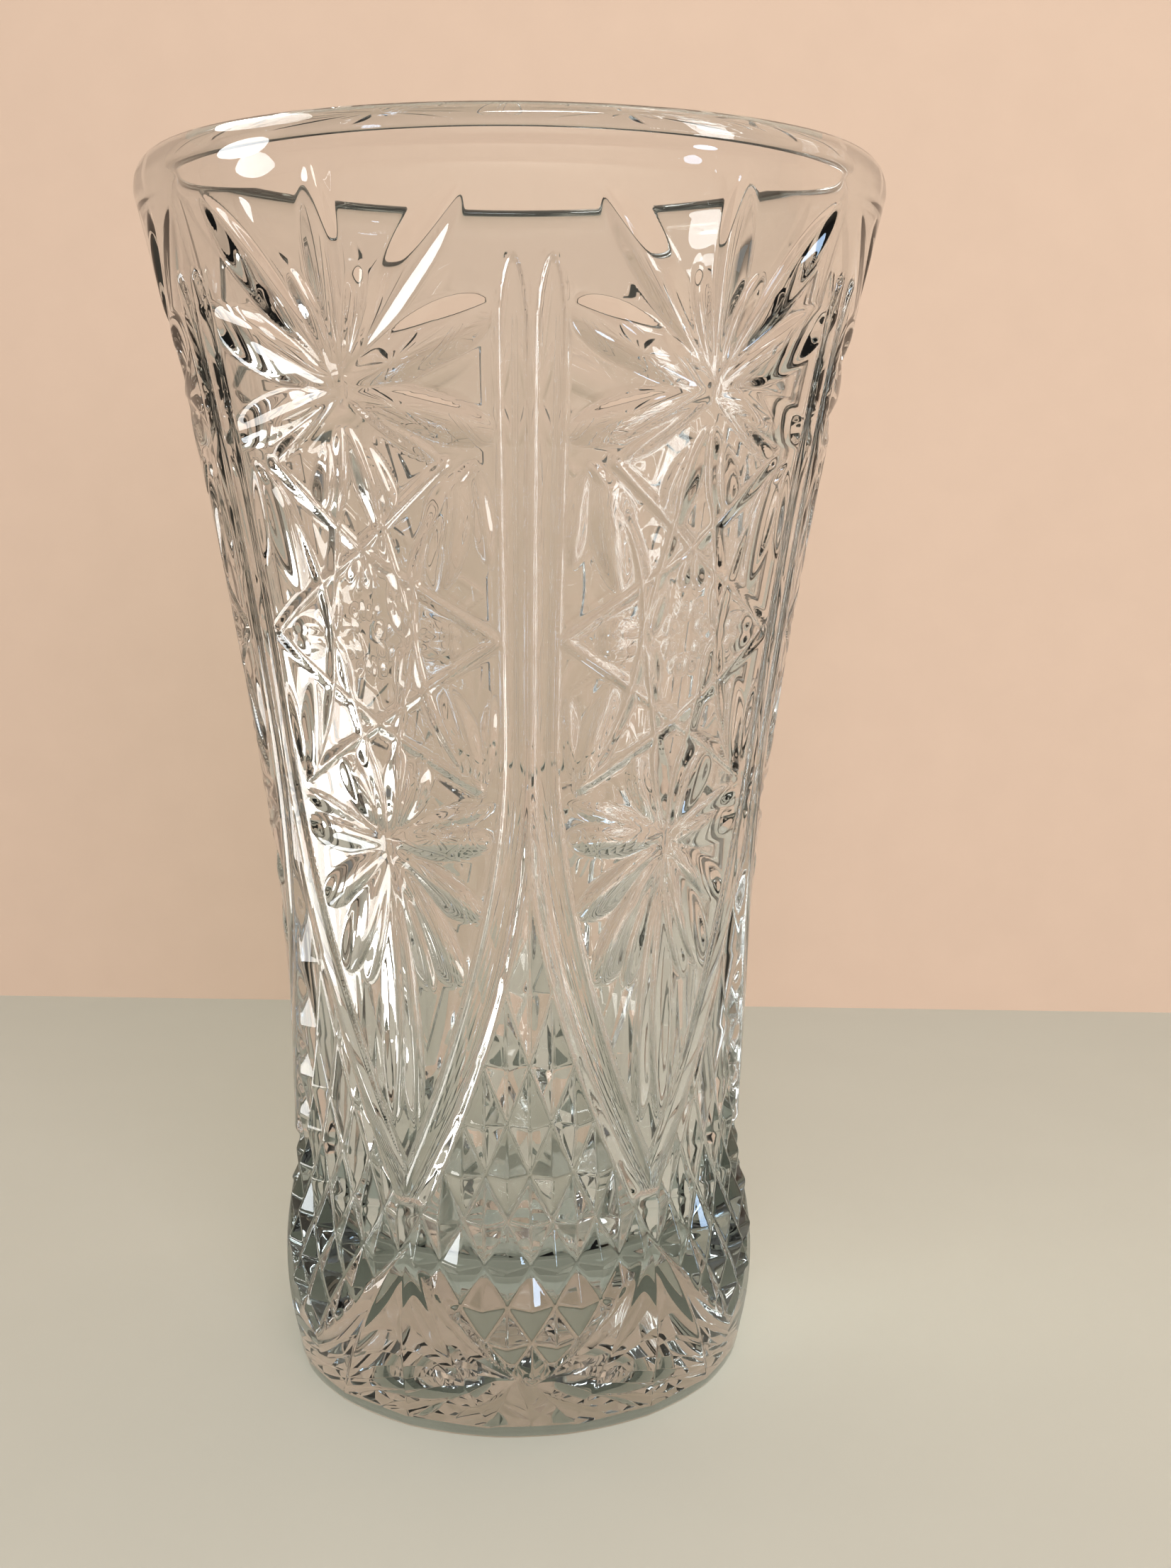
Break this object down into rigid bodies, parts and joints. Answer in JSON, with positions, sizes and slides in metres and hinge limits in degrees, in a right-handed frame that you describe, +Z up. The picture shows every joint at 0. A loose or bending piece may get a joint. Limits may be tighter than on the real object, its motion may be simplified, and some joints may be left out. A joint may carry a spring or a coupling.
{
  "type": "vase",
  "caption": "Flared cut crystal vase with star panels, split ribs that part into crossing arches, and fields of diamonds above a thick rounded foot.",
  "frame": {"origin": "middle of the foot's resting face, on the table", "axes": "+Z up along the vase's axis, -Y towards the front rib"},
  "size_m": [0.148, 0.148, 0.248],
  "materials": {
    "clear_crystal": "polished clear cut crystal",
    "thick_crystal": "polished clear cut crystal, greyer where it is thick"
  },
  "bodies": {
    "root": {"base": "thick_crystal", "rim": "clear_crystal", "star_panel_1": "clear_crystal", "star_panel_2": "clear_crystal", "star_panel_3": "clear_crystal", "star_panel_4": "clear_crystal", "star_panel_5": "clear_crystal", "star_panel_6": "clear_crystal", "split_rib_1": "clear_crystal", "split_rib_2": "clear_crystal", "split_rib_3": "clear_crystal", "split_rib_4": "clear_crystal", "split_rib_5": "clear_crystal", "split_rib_6": "clear_crystal", "diamond_field_1": "thick_crystal", "diamond_field_2": "thick_crystal", "diamond_field_3": "thick_crystal", "diamond_field_4": "thick_crystal", "diamond_field_5": "thick_crystal", "diamond_field_6": "thick_crystal"}
  },
  "joints": []
}
